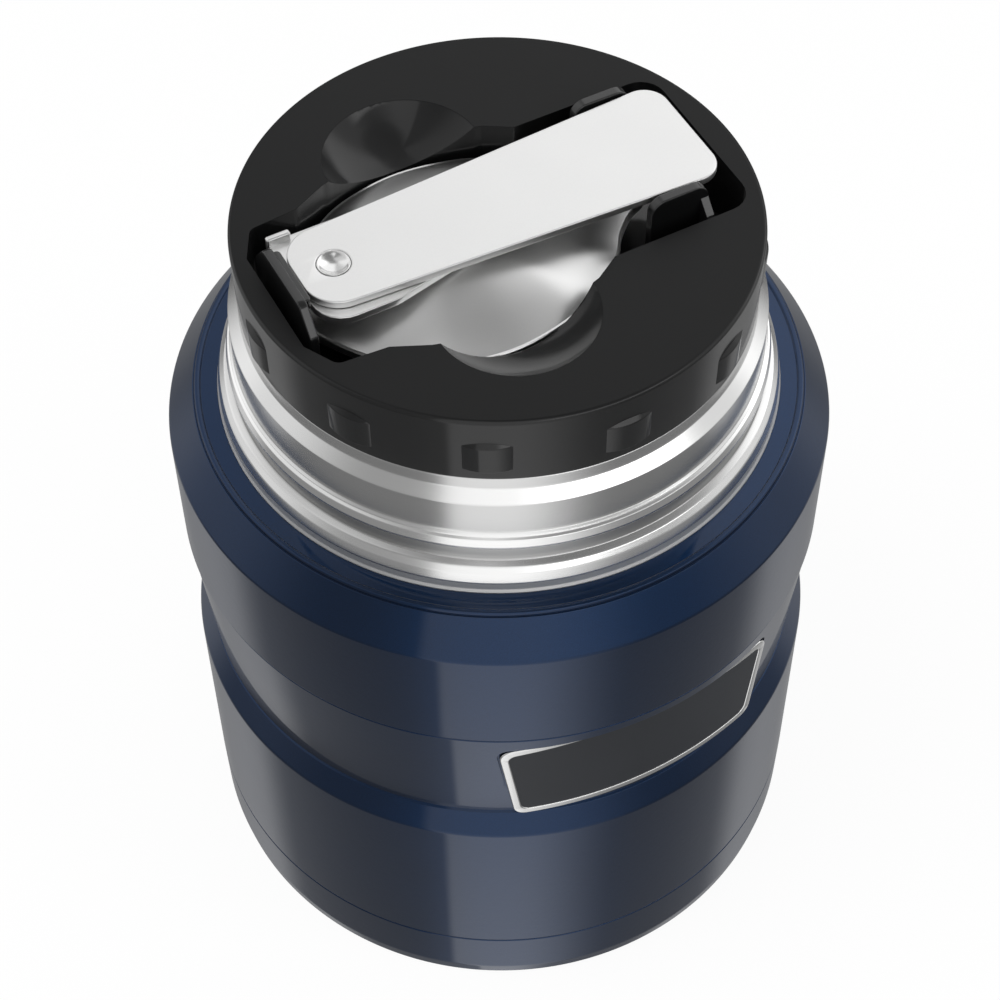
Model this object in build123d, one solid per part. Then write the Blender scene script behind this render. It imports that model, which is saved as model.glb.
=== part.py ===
from build123d import *
import math
import os

# Insulated food jar with a screw-in stopper that carries a folding spoon.
# Millimetres. +Z is up, the jar's axis is Z, and the origin is the middle of the base.
# The stopper's recess and its spoon lie along the slot direction, SLOT_TURN from +X.
# In that direction's own plan, u runs along the slot and v across it.

# ---- painted body ----
shell_r = 47.13            # lower wall, outside: the radii below step in from it
shell_wall = 1.0
foot_draft = 0.53          # base cup's taper towards the table
shoulder_step = 0.13
waist_inset = 2.08         # waist cone at its foot
waist_top_inset = 0.33     # waist cone at the crease under the shoulder
ridge_inset = 4.03         # where the shoulder's chamfer meets the ridge
groove_depth = 0.35        # small groove at the foot of the waist
groove_h = 0.5
ridge_h = 0.6
ridge_w = 1.2
base_cup_h = 11.6
lower_wall_h = 32.2
bevel_h = 3.3
waist_h = 22.4
shoulder_h = 18.8
chamfer_h = 5.2
seam_gap = 0.15            # open line between the base cup and the shell
foot_r = shell_r - foot_draft
shoulder_r = shell_r - shoulder_step
waist_low_r = shell_r - waist_inset
waist_top_r = shell_r - waist_top_inset
ridge_r = shell_r - ridge_inset
shell_bore_r = shell_r - shell_wall

# ---- base ----
base_wall = 1.2
base_recess = 1.5          # height of the plate above the foot ring
foot_ring_w = 3.6
spigot_h = 2.4             # part of the base cup that plugs into the shell
spigot_wall = 1.1
spigot_gap = 0.05
end_plate_wall = 0.9
end_plate_z = 5.0          # underside of the vacuum end plate
end_rim_h = 3.6
end_cup_gap = 0.3          # between the end plate's cup and the spigot
seal_head_r = 2.2
seal_stem_r = 0.8
seal_head_h = 0.6
getter_r = 3.0
getter_h = 1.0
getter_offset = 20.0

# ---- steel neck and food vessel ----
neck_inset = 3.54          # from the ridge in to the bare steel's foot
bead_inset = 1.9
collar_inset = 0.96
lip_inset = 1.7
mouth_inset = 1.6
vacuum_gap = 1.95          # between the vessel and the waist, at the waist's foot
flare_h = 7.15
bead_h = 2.1
collar_h = 5.7             # plain land that a cup slips over
neck_bevel_h = 1.5
lip_h = 1.8
neck_wall = 0.8
vessel_wall = 0.6
vessel_gap = 1.1           # under the vessel's floor, over the getter
vessel_corner = 6.0
vessel_shoulder_h = 7.0
mouth_tube_h = 20.0
foil_wall = 0.25
foil_gap = 0.05
foil_inset = 4.0
neck_foot_r = ridge_r - neck_inset
bead_r = neck_foot_r - bead_inset
collar_r = bead_r - collar_inset
lip_r = collar_r - lip_inset
mouth_r = lip_r - mouth_inset
mouth_out_r = mouth_r + vessel_wall
vessel_out_r = waist_low_r - shell_wall - vacuum_gap
vessel_r = vessel_out_r - vessel_wall

# ---- badge on the waist ----
badge_turn = 26.8          # degrees round from the front, towards +X
pad_inset = 0.45           # depth of the flattened pad at its middle, at the waist's foot
pad_flatness = 14.4        # how far the pad's own axis lies behind the jar's
pad_ramp_h = 8.0           # height over which the pad runs out into the shoulder
pad_margin = 0.8           # pad above the badge
badge_foot = 2.1           # badge above the foot of the waist
badge_head = 3.7           # waist left above the badge
badge_top_w = 42.6
badge_low_w = 38.2
badge_crown = 1.3          # rise of the badge's top edge in its middle
badge_t = 1.0
badge_frame_w = 1.3
badge_corner = 1.8
inlay_t = 0.4
inlay_gap = 0.05
inlay_drop = 0.1           # inlay below the frame's face
clear_of_all = 100.0       # reach of the cutting tools that run right through
pad_face = waist_low_r - pad_inset
pad_r = pad_face + pad_flatness
badge_h = waist_h - badge_foot - badge_head

# ---- stopper ----
SLOT_TURN = 27.8           # degrees from +X to the slot direction
skirt_out = 0.15           # skirt outside the jar's lip
lid_taper = 0.2
skirt_wall = 2.15
lid_h = 11.35
lid_gap = 0.05             # between the jar's lip and the skirt
lid_edge = 0.6             # rounding of the lid's outer top edge
lid_plate = 1.8
recess_edge = 0.35         # rounding of the recess's and the scoops' top edges
grip_count = 12
grip_first = -2.45         # degrees round from the front
grip_w = 6.4
grip_depth = 1.2
grip_h = 5.3
grip_foot = 2.0            # plain strip of skirt under the grips
recess_depth = 10.0
recess_wall = 1.5
tray_t = 1.25
tray_gap = 0.05
plug_gap = 1.4             # between the plug and the jar's mouth
plug_wall = 1.5
plug_depth = 21.0          # below the jar's lip
plug_floor = 1.8
plug_edge = 1.0
seal_h = 2.2
seal_reach = 1.15          # lips outside the plug
seal_seat = 1.4            # depth of the ring's seat in the plug
seal_gap = 0.25
seal_foot = 1.4            # plug below the seal groove
foam_gap = 0.1
skirt_r = lip_r + skirt_out
lid_r = skirt_r + lid_taper
skirt_bore_r = skirt_r - skirt_wall
plug_r = mouth_r - plug_gap
seal_r = plug_r + seal_reach
seal_root_r = plug_r - seal_seat

# ---- recess plan, along u and across v ----
slot_end_wall = 4.05       # from the lid's rim to the slot's right end
slot_start_wall = 5.75     # from the lid's rim to the slot's left corners
latch_pocket_wall = 3.25   # from the lid's rim to the latch pocket
slot_half = 13.7
slot_lead = 0.5            # narrowing of the slot at its left end
slot_corner = 3.5
slot_left_corner = 1.5
latch_pocket_half = 8.6
belly_half = 16.0
belly_left = -17.8
belly_right = 6.2
belly_run = 4.3            # belly's slanted run from the slot's straight side
belly_bulge = 18.4         # half width in the middle of the belly
scoop_u = -5.8
scoop_v = 15.9
scoop_r = 11.0             # at the lid's top
scoop_sphere_r = 14.3
slot_right = lid_r - slot_end_wall
slot_left = slot_start_wall - lid_r
latch_pocket_left = latch_pocket_wall - lid_r

# ---- spoon ----
spoon_t = 1.2              # sheet
handle_left_gap = 3.35     # handle's left end from the latch pocket's wall
handle_right_gap = 2.1     # handle's right end from the slot's right end
handle_half = 8.2          # half width at u = 0
handle_taper = 0.05        # half width gained per millimetre of u
handle_left_corner = 5.0
handle_right_corner = 3.5
handle_edge = 0.25
handle_gap = 0.1           # running gap between the tongue and the handle
bowl_left_gap = 1.1        # bowl's left end from the slot's left corners
bowl_right_gap = 9.8       # bowl's nose from the slot's right end
bowl_side_gap = 0.8        # bowl's side from the belly
bowl_rim_gap = 3.7         # rim above the tray
bowl_rim_h = 1.5
bowl_crown_h = 5.25
bowl_crown_u = -6.5
tongue_lead = 0.65         # tongue beyond the handle's left end
tongue_right = -3.0
tongue_half = 8.4
tongue_tip_half = 5.0
tongue_tip_corner = 3.0
tongue_taper_run = 10.9
ear_lead = 0.75
ear_w = 3.4
ear_gap = 0.1              # opened handle to the ear that stops it
rivet_inset = 5.15         # rivet from the handle's left end
rivet_head_r = 2.2
rivet_stem_r = 1.5
rivet_gap = 0.05
rivet_dish = 0.45
rivet_tail_h = 0.8
rivet_tail_r = 2.4
handle_left = latch_pocket_left + handle_left_gap
handle_right = slot_right - handle_right_gap
bowl_left = slot_left + bowl_left_gap
bowl_right = slot_right - bowl_right_gap
bowl_half = belly_bulge - bowl_side_gap
tongue_left = handle_left - tongue_lead
tongue_taper_u = tongue_left + tongue_taper_run
ear_left = handle_left - ear_lead
ear_right = ear_left + ear_w
rivet_u = handle_left + rivet_inset
ear_in = handle_half + handle_taper * (2 * rivet_u - ear_left) + ear_gap

# ---- latch and clips ----
latch_back = 1.1           # latch from the pocket's wall
latch_wall = 1.2
latch_half = 8.4
latch_crown_half = 5.4
latch_rise = 1.05          # above the handle's top
latch_shoulder_drop = 3.8
lip_half = 4.9
latch_lip_drop = 0.4
latch_lip_h = 1.8
lip_gap = 0.2              # between the latch's lip and the handle's end
clip_inset = 5.8           # clips from the slot's right end
clip_w = 8.6
clip_gap = 0.2             # to the handle's side
clip_t = 1.4
clip_rise = 0.45           # above the handle's top
clip_corner = 2.0
rib_t = 1.2
rib_drop = 3.0
latch_left = latch_pocket_left + latch_back
clip_right = slot_right - clip_inset
clip_left = clip_right - clip_w

# ---- heights that follow from the stack ----
z_seam = base_cup_h
z_bevel = z_seam + lower_wall_h
z_waist = z_bevel + bevel_h
z_crease = z_waist + waist_h
z_shoulder = z_crease + shoulder_h
z_ridge = z_shoulder + chamfer_h
z_rim = z_ridge + ridge_h - 0.15
z_bead = z_rim + flare_h
z_collar = z_bead + bead_h
z_collar_top = z_collar + collar_h
z_lip_foot = z_collar_top + neck_bevel_h
z_lip = z_lip_foot + lip_h
z_floor = end_plate_z + end_plate_wall + getter_h + vessel_gap + vessel_wall
z_neck = z_lip - mouth_tube_h
z_vessel_turn = z_neck - vessel_shoulder_h
z_skirt = z_lip + lid_gap
z_lid = z_skirt + lid_h
z_tray = z_lid - recess_depth
z_plug = z_lip - plug_depth
z_seal_groove = z_plug + seal_foot
z_seal_groove_top = z_seal_groove + seal_h + 2 * seal_gap
z_bowl_rim = z_tray + bowl_rim_gap + bowl_rim_h
z_bowl_crown = z_bowl_rim + bowl_crown_h
z_tongue_top = z_bowl_crown + spoon_t
z_handle = z_tongue_top + handle_gap
z_handle_top = z_handle + spoon_t
z_latch_top = z_handle_top + latch_rise
z_clip_top = z_handle_top + clip_rise
badge_low = z_waist + badge_foot


def turned(*corners):
    """Revolve a closed outline about Z. A corner is (radius, height) or (radius, height, rounding)."""
    points = [(corner[0], 0, corner[1]) for corner in corners]
    roundings = [corner[2] if len(corner) > 2 else 0 for corner in corners]
    return revolve(make_face(FilletPolyline(*points, radius=roundings, close=True)), Axis.Z)


def along_slot(shape):
    """Turn a shape drawn in the u, v plan into its place on the stopper."""
    return Rot(0, 0, SLOT_TURN) * shape


def mirrored_outline(upper):
    """Close an outline whose upper half runs from its right end to its left end over v = 0."""
    return make_face(Polyline(*upper, *[(u, -v) for u, v in reversed(upper) if v > 0], close=True))


def rounded(face, corner, radius):
    """Round the one vertex of a face that is nearest to a point."""
    nearest = min(face.vertices(), key=lambda vertex: vertex.distance_to(Vertex(*corner)))
    return fillet(nearest, radius)


# ---- painted body ----
def pad_cutter(inset):
    """Space outside the flattened badge pad, a big turned ring about the pad's own axis."""
    radius = pad_r - inset
    run_out = shoulder_r - pad_face
    pad_top = badge_low + badge_h + badge_crown + pad_margin
    beyond = radius + clear_of_all
    ring = turned(
        (radius, z_waist + groove_h),
        (radius, pad_top, 4.0),
        (radius + run_out, pad_top + pad_ramp_h),
        (beyond, pad_top + pad_ramp_h),
        (beyond, z_waist + groove_h),
    )
    return at_pad(ring)


def at_pad(shape):
    """Place a shape drawn about Z, with its middle towards -Y, on the badge pad's axis."""
    return Rot(0, 0, badge_turn) * Pos(0, pad_flatness, 0) * shape


def outer_shell():
    outside = turned(
        (neck_foot_r, z_seam),
        (shell_r, z_seam),
        (shell_r, z_bevel, 1.2),
        (waist_low_r, z_waist),
        (waist_low_r - groove_depth, z_waist + 0.2),
        (waist_low_r - groove_depth, z_waist + 0.2 + groove_h),
        (waist_low_r, z_waist + 0.4 + groove_h),
        (waist_top_r, z_crease - 0.2),
        (shoulder_r, z_crease),
        (shoulder_r, z_shoulder, 0.9),
        (ridge_r, z_ridge),
        (ridge_r - 0.15, z_ridge - 0.2),
        (ridge_r - 0.3, z_ridge + ridge_h - 0.1, 0.25),
        (ridge_r + 0.2 - ridge_w, z_ridge + ridge_h - 0.1, 0.25),
        (ridge_r - ridge_w, z_rim - 0.25),
        (neck_foot_r, z_rim),
    )
    inside = turned(
        (0, z_seam - shell_wall),
        (shell_bore_r, z_seam - shell_wall),
        (shell_bore_r, z_bevel - 0.3, 1.0),
        (waist_low_r - shell_wall, z_waist - 0.3, 1.0),
        (waist_top_r - shell_wall, z_crease, 1.0),
        (shoulder_r - shell_wall, z_shoulder - 0.5),
        (ridge_r - 0.5, z_rim - shell_wall),
        (0, z_rim - shell_wall),
    )
    return (outside - pad_cutter(0)) - (inside - pad_cutter(shell_wall))


def base_cup():
    spigot_r = shell_bore_r - spigot_gap
    z_top = z_seam - seam_gap
    plate_top = base_recess + base_wall
    return turned(
        (0, base_recess),
        (foot_r - foot_ring_w - 0.8, base_recess, 0.8),
        (foot_r - foot_ring_w, 0, 0.6),
        (foot_r, 0, 0.5),
        (shell_r, z_top),
        (spigot_r, z_top),
        (spigot_r, z_seam + spigot_h, 0.3),
        (spigot_r - spigot_wall, z_seam + spigot_h, 0.3),
        (spigot_r - spigot_wall, plate_top, 1.0),
        (0, plate_top),
    )


def end_plate():
    rim_low = z_seam + spigot_h + end_cup_gap
    cup_r = shell_bore_r - spigot_gap - spigot_wall - end_cup_gap
    return turned(
        (seal_stem_r, end_plate_z),
        (cup_r, end_plate_z, 2.0),
        (cup_r, rim_low, 0.3),
        (shell_bore_r, rim_low, 0.4),
        (shell_bore_r, rim_low + end_rim_h),
        (shell_bore_r - end_plate_wall, rim_low + end_rim_h),
        (shell_bore_r - end_plate_wall, rim_low + end_plate_wall, 0.3),
        (cup_r - end_plate_wall, rim_low + end_plate_wall, 0.4),
        (cup_r - end_plate_wall, end_plate_z + end_plate_wall, 1.1),
        (seal_stem_r, end_plate_z + end_plate_wall),
    )


def vacuum_seal():
    return turned(
        (0, end_plate_z - seal_head_h),
        (seal_head_r, end_plate_z - seal_head_h, 0.4),
        (seal_head_r, end_plate_z),
        (seal_stem_r, end_plate_z),
        (seal_stem_r, end_plate_z + end_plate_wall),
        (0, end_plate_z + end_plate_wall),
    )


def getter():
    pill = Cylinder(getter_r, getter_h, align=(Align.CENTER, Align.CENTER, Align.MIN))
    pill = fillet(pill.edges().group_by(Axis.Z)[-1], getter_h * 0.3)
    return Pos(getter_offset, 0, end_plate_z + end_plate_wall) * pill


# ---- steel neck and food vessel ----
def steel_neck():
    wall = neck_wall
    return turned(
        (neck_foot_r, z_rim),
        (neck_foot_r, z_rim + flare_h * 0.52, 2.2),
        (collar_r + 0.5, z_rim + flare_h * 0.72, 1.6),
        (collar_r + 0.4, z_bead - 0.45, 0.2),
        (bead_r, z_bead - 0.1, 0.35),
        (bead_r - 0.2, z_bead + 1.2, 0.5),
        (collar_r, z_collar, 0.5),
        (collar_r, z_collar_top, 0.15),
        (lip_r, z_lip_foot, 0.3),
        (lip_r, z_lip, 0.3),
        (mouth_out_r, z_lip),
        (mouth_out_r, z_lip_foot - wall),
        (lip_r - wall * 0.5, z_lip_foot - wall),
        (collar_r - wall, z_collar_top - wall * 0.6),
        (collar_r - wall, z_bead - 1.2),
        (collar_r - wall * 0.6, z_rim + flare_h * 0.62, 1.0),
        (neck_foot_r - wall, z_rim + flare_h * 0.42, 1.2),
        (neck_foot_r - wall, z_rim - shell_wall),
        (neck_foot_r, z_rim - shell_wall),
    )


def inner_vessel():
    return turned(
        (0, z_floor - vessel_wall),
        (vessel_out_r, z_floor - vessel_wall, vessel_corner + vessel_wall),
        (vessel_out_r, z_vessel_turn + vessel_wall, 4.0 + vessel_wall),
        (mouth_out_r, z_neck + vessel_wall, 3.0),
        (mouth_out_r, z_lip),
        (mouth_r, z_lip, 0.2),
        (mouth_r, z_neck, 3.0 + vessel_wall),
        (vessel_r, z_vessel_turn, 4.0),
        (vessel_r, z_floor, vessel_corner),
        (0, z_floor),
    )


def heat_foil():
    foil_bore = vessel_out_r + foil_gap
    low = z_floor + vessel_corner + foil_inset
    high = z_vessel_turn - foil_inset
    return turned((foil_bore, low), (foil_bore + foil_wall, low), (foil_bore + foil_wall, high), (foil_bore, high))


# ---- badge ----
def badge_outline(inset):
    """Trapezoid, wider at its crowned top, drawn in XZ with its middle at x = 0."""
    slope = (badge_top_w - badge_low_w) / 2 / badge_h
    low, high = badge_low + inset, badge_low + badge_h - inset
    low_half = badge_low_w / 2 + slope * inset - inset * 1.03
    top_half = badge_top_w / 2 - slope * inset - inset * 1.03
    left, right = (-top_half, 0, high), (top_half, 0, high)
    crown = (0, 0, high + badge_crown)
    rim = [ThreePointArc(left, crown, right), Polyline(right, (low_half, 0, low), (-low_half, 0, low), left)]
    face = make_face(Curve() + rim)
    for corner in (left, right, (low_half, 0, low), (-low_half, 0, low)):
        face = rounded(face, corner, badge_corner - inset * 0.6)
    return face


def badge_block(inset, inner, outer):
    """The badge outline pushed outwards and cut to a curved plate between two radii of the pad."""
    prism = extrude(badge_outline(inset), clear_of_all, dir=(0, -1, 0))
    bend = Cylinder(outer, 2 * clear_of_all) - Cylinder(inner, 2 * clear_of_all)
    return at_pad(prism & bend)


def badge_plate():
    plate = badge_block(0, pad_r, pad_r + badge_t)
    return plate - badge_block(badge_frame_w, pad_r + badge_t - inlay_t, pad_r + badge_t + 1)


def badge_inlay():
    return badge_block(badge_frame_w + inlay_gap, pad_r + badge_t - inlay_t, pad_r + badge_t - inlay_drop)


# ---- stopper ----
def recess_outline(grow=0.0):
    """Plan of the spoon recess: slot, latch pocket at the left and rounded belly round the bowl."""
    half = [
        (slot_right, slot_half),
        (belly_right + belly_run, slot_half),
        (belly_right, belly_half),
    ]
    rest = [
        (belly_left, belly_half),
        (belly_left - belly_run, slot_half),
        (slot_left, slot_half - slot_lead),
        (latch_pocket_left, latch_pocket_half),
    ]
    bulge_u = (belly_left + belly_right) / 2
    edges = []
    for side in (1, -1):
        first = [(u, v * side) for u, v in half]
        last = [(u, v * side) for u, v in rest]
        edges.append(Polyline(*first))
        edges.append(ThreePointArc(first[-1], (bulge_u, belly_bulge * side), last[0]))
        edges.append(Polyline(*last))
    edges.append(Line((slot_right, slot_half), (slot_right, -slot_half)))
    edges.append(Line((latch_pocket_left, latch_pocket_half), (latch_pocket_left, -latch_pocket_half)))
    face = make_face(Curve() + edges)
    for side in (1, -1):
        face = rounded(face, (slot_right, slot_half * side), slot_corner)
        face = rounded(face, (slot_left, (slot_half - slot_lead) * side), slot_left_corner)
    if grow:
        face = offset(face, amount=grow, kind=Kind.INTERSECTION)
    return face


def recess_prism(low, high, grow=0.0):
    return Pos(0, 0, low) * extrude(recess_outline(grow), high - low)


def scoops(grow=0.0):
    """The two dished finger scoops, as spheres whose cut at the lid's top has scoop_r."""
    rise = math.sqrt(scoop_sphere_r ** 2 - scoop_r ** 2)
    places = [(scoop_u, side * scoop_v, z_lid + rise) for side in (1, -1)]
    return [Pos(*place) * Sphere(scoop_sphere_r + grow) for place in places]


def grips():
    """Upright hollows round the skirt, each a shallow slice of a cylinder."""
    curve = ((grip_w / 2) ** 2 + grip_depth ** 2) / (2 * grip_depth)
    tool = Cylinder(curve, grip_h, align=(Align.CENTER, Align.CENTER, Align.MIN))
    reach = (lid_r + skirt_r) / 2 - grip_depth + curve
    step = 360 / grip_count
    return [
        Rot(0, 0, grip_first + step * index) * Pos(0, -reach, z_skirt + grip_foot) * tool
        for index in range(grip_count)
    ]


def stopper_top():
    cap = turned(
        (0, z_skirt),
        (skirt_r, z_skirt, 0.3),
        (lid_r, z_lid, lid_edge),
        (0, z_lid),
    )
    hollow = Pos(0, 0, z_lid - lid_plate) * Cylinder(
        skirt_bore_r, lid_h, align=(Align.CENTER, Align.CENTER, Align.MAX)
    )
    inside = Pos(0, 0, z_tray) * Cylinder(
        skirt_bore_r + lid_taper, recess_depth - lid_plate / 2, align=(Align.CENTER, Align.CENTER, Align.MIN)
    )
    dishes = scoops(recess_wall)
    walls = recess_prism(z_tray, z_lid - lid_plate / 2, recess_wall) + dishes[0] + dishes[1]
    body = (cap - hollow) + along_slot(walls) & (cap + inside)
    body = body - along_slot(recess_prism(z_skirt - lid_h, z_lid + lid_h))
    for dish in scoops():
        body = body - along_slot(dish)
    for grip in grips():
        body = body - grip
    top_edges = body.edges().group_by(Axis.Z)[-1].sort_by(SortBy.LENGTH)
    return fillet(top_edges[:-1], recess_edge)


def spoon_tray():
    """Floor of the recess, a disc that closes the lid moulding from below."""
    return turned(
        (0, z_tray - tray_t),
        (skirt_bore_r - tray_gap, z_tray - tray_t, 0.3),
        (skirt_bore_r - tray_gap, z_tray),
        (0, z_tray),
    )


def plug_body():
    top = z_tray - tray_t
    groove_low, groove_high = z_seal_groove, z_seal_groove_top
    bore = plug_r - plug_wall
    thick_bore = seal_root_r - seal_gap - plug_wall
    return turned(
        (0, z_plug),
        (plug_r - plug_edge, z_plug, 0.8),
        (plug_r, z_plug + plug_edge * 0.7),
        (plug_r, groove_low),
        (seal_root_r - seal_gap, groove_low),
        (seal_root_r - seal_gap, groove_high),
        (plug_r, groove_high),
        (plug_r, top),
        (bore, top),
        (bore, groove_high + plug_wall, 1.0),
        (thick_bore, groove_high + plug_wall, 0.5),
        (thick_bore, z_plug + plug_floor, 1.0),
        (0, z_plug + plug_floor),
    )


def plug_foam():
    bore = plug_r - plug_wall - foam_gap
    thick_bore = seal_root_r - seal_gap - plug_wall - foam_gap
    step = z_seal_groove_top + plug_wall + foam_gap
    return turned(
        (0, z_plug + plug_floor),
        (thick_bore, z_plug + plug_floor, 1.0),
        (thick_bore, step, 0.5),
        (bore, step, 1.0),
        (bore, z_tray - tray_t),
        (0, z_tray - tray_t),
    )


def stopper_seal():
    """Silicone ring with two soft lips, in the groove near the plug's foot."""
    low = z_seal_groove + seal_gap
    high = low + seal_h
    middle = (low + high) / 2
    return turned(
        (seal_root_r, low),
        (seal_r - 0.6, low, 0.2),
        (seal_r, low + 0.45, 0.25),
        (seal_r - 0.55, middle, 0.15),
        (seal_r, high - 0.45, 0.25),
        (seal_r - 0.6, high, 0.2),
        (seal_root_r, high),
    )


def spoon_latch():
    """Arched tongue behind the handle's left end, with a lip that faces the handle."""
    height = z_latch_top - z_tray
    profile = mirrored_profile(latch_half, latch_crown_half, height - latch_shoulder_drop, height, 1.6)
    wall = Pos(latch_left, 0, z_tray) * extrude(profile, latch_wall, dir=(1, 0, 0))
    lip_top = z_latch_top - latch_lip_drop
    reach = handle_left - lip_gap - latch_left
    lip = Pos(latch_left + reach / 2, 0, lip_top - latch_lip_h / 2) * Box(reach, 2 * lip_half, latch_lip_h)
    lip = fillet(lip.edges().filter_by(Axis.Y).group_by(Axis.X)[-1], 0.3)
    lip = fillet(lip.edges().filter_by(Axis.Z).group_by(Axis.X)[-1], 0.6)
    return along_slot(wall + lip)


def mirrored_profile(half, crown_half, shoulder, height, rounding):
    """Upright panel in YZ: straight sides, sloping shoulders and a rounded crown."""
    points = [(0, half, 0), (0, half, shoulder), (0, crown_half, height)]
    mirror_points = [(0, -y, z) for _, y, z in reversed(points)]
    roundings = [0, rounding * 0.6, rounding, rounding, rounding * 0.6, 0]
    return make_face(FilletPolyline(*points, *mirror_points, radius=roundings, close=True))


def spoon_clips():
    """Two upright tabs beside the handle, each tied to the recess's side by a small rib."""
    inner = handle_half + handle_taper * clip_right + clip_gap
    middle = (clip_left + clip_right) / 2
    height = z_clip_top - z_tray
    tab = Pos(middle, inner + clip_t / 2, z_tray + height / 2) * Box(clip_w, clip_t, height)
    tab = fillet(tab.edges().filter_by(Axis.Y).group_by(Axis.Z)[-1], clip_corner)
    tab = fillet(tab.edges().filter_by(Axis.X).group_by(Axis.Z)[-1], 0.3)
    high = z_clip_top - clip_corner
    outer = inner + clip_t
    rib_face = make_face(Polyline(
        (clip_right, outer - 0.3, z_tray),
        (clip_right, outer - 0.3, high),
        (clip_right, slot_half, high - rib_drop),
        (clip_right, slot_half, z_tray),
        close=True,
    ))
    rib = extrude(rib_face, rib_t, dir=(-1, 0, 0))
    clip = tab + rib
    return [along_slot(clip), along_slot(mirror(clip, Plane.XZ))]


# ---- spoon ----
def bowl_outline(z, shrink=0.0, scale=1.0):
    """Egg-shaped rim with a narrow nose, as a smooth closed curve scaled about the crown."""
    # shares of the bowl's length, from its left end, and of its half width
    shares = [
        (1.0, 0.0),
        (0.982, 0.131),
        (0.928, 0.210),
        (0.870, 0.358),
        (0.818, 0.551),
        (0.730, 0.722),
        (0.630, 0.903),
        (0.454, 1.0),
        (0.292, 0.9375),
        (0.180, 0.784),
        (0.086, 0.528),
        (0.016, 0.2045),
        (0.0, 0.0),
    ]
    upper = [(bowl_left + along * (bowl_right - bowl_left), across * bowl_half) for along, across in shares]
    points = upper + [(u, -v) for u, v in reversed(upper[1:-1])]
    moved = []
    for u, v in points:
        du, dv = u - bowl_crown_u, v
        reach = math.hypot(du, dv)
        keep = scale * (reach - shrink) / reach
        moved.append((bowl_crown_u + du * keep, dv * keep, z))
    return make_face(Spline(*moved, periodic=True))


def dome(shrink, low, rim, crown):
    """Solid dome: a straight rim, then outlines that close in along a circular cap."""
    steps = 7
    height = crown - rim
    half = bowl_half
    cap_r = (half ** 2 + height ** 2) / (2 * height)
    sections = [bowl_outline(low, shrink), bowl_outline(rim, shrink)]
    dome_part = loft(sections, ruled=True)
    layers = []
    for step in range(steps + 1):
        z = rim + height * math.sin(math.pi / 2 * step / steps) ** 1.5 * 0.985
        reach = math.sqrt(cap_r ** 2 - (cap_r - crown + z) ** 2) / half
        layers.append(bowl_outline(z, shrink, reach))
    return dome_part + loft(layers)


def spoon_bowl():
    low = z_bowl_rim - bowl_rim_h
    outside = dome(0, low, z_bowl_rim, z_bowl_crown)
    inside = dome(spoon_t, low - spoon_t, z_bowl_rim - 0.5, z_bowl_crown - spoon_t)
    return along_slot(outside - inside)


def rivet_hole(radius, low, high):
    depth = high - low
    return Pos(rivet_u, 0, low) * Cylinder(radius, depth, align=(Align.CENTER, Align.CENTER, Align.MIN))


def spoon_tongue():
    """Hinge plate welded on the bowl's back, with an ear that stops the opened handle."""
    outline = mirrored_outline([
        (tongue_right, 0),
        (tongue_right, tongue_tip_half),
        (tongue_taper_u, tongue_half),
        (tongue_left, tongue_half),
        (tongue_left, 0),
    ])
    outline = rounded(outline, (tongue_left, -tongue_half, 0), handle_left_corner)
    for side in (1, -1):
        outline = rounded(outline, (tongue_right, side * tongue_tip_half, 0), tongue_tip_corner)
    plate = Pos(0, 0, z_bowl_crown) * extrude(outline, spoon_t)
    ear_h = z_handle_top - z_bowl_crown
    ear_at = ((ear_left + ear_right) / 2, (ear_in + tongue_half) / 2, z_bowl_crown + ear_h / 2)
    ear = Pos(*ear_at) * Box(ear_w, tongue_half - ear_in, ear_h)
    ear = fillet(ear.edges().filter_by(Axis.Y).group_by(Axis.Z)[-1], 0.4)
    hole = rivet_hole(rivet_stem_r, z_bowl_crown - spoon_t, z_tongue_top + spoon_t)
    return along_slot(plate + ear - hole)


def handle_width(u):
    return handle_half + handle_taper * u


def spoon_handle():
    """Flat tapered plate, rounded at both ends, with a countersunk rivet hole."""
    outline = mirrored_outline([
        (handle_right, 0),
        (handle_right, handle_width(handle_right)),
        (handle_left, handle_width(handle_left)),
        (handle_left, 0),
    ])
    for side in (1, -1):
        outline = rounded(outline, (handle_right, side * handle_width(handle_right), 0), handle_right_corner)
        outline = rounded(outline, (handle_left, side * handle_width(handle_left), 0), handle_left_corner)
    plate = Pos(0, 0, z_handle) * extrude(outline, spoon_t)
    plate = fillet(plate.edges().group_by(Axis.Z)[-1], handle_edge)
    hole = Pos(rivet_u, 0, 0) * turned(
        (0, z_handle - spoon_t),
        (rivet_stem_r + rivet_gap, z_handle - spoon_t),
        (rivet_stem_r + rivet_gap, z_handle + 0.3),
        (rivet_head_r + rivet_gap, z_handle_top - 0.2),
        (rivet_head_r + rivet_gap, z_handle_top + spoon_t),
        (0, z_handle_top + spoon_t),
    )
    return along_slot(plate - hole)


def spoon_rivet():
    """Dished flush head, stem through handle and tongue, and a flat tail under the tongue."""
    body = turned(
        (0, z_bowl_crown - rivet_tail_h),
        (rivet_tail_r, z_bowl_crown - rivet_tail_h, 0.3),
        (rivet_tail_r, z_bowl_crown),
        (rivet_stem_r, z_bowl_crown),
        (rivet_stem_r, z_handle + 0.3),
        (rivet_head_r, z_handle_top - 0.2),
        (rivet_head_r, z_handle_top),
        (0, z_handle_top),
    )
    dish_r = rivet_head_r - 0.15
    ball = (dish_r ** 2 + rivet_dish ** 2) / (2 * rivet_dish)
    dish = Pos(0, 0, z_handle_top + ball - rivet_dish) * Sphere(ball)
    return along_slot(Pos(rivet_u, 0, 0) * (body - dish))


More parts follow.
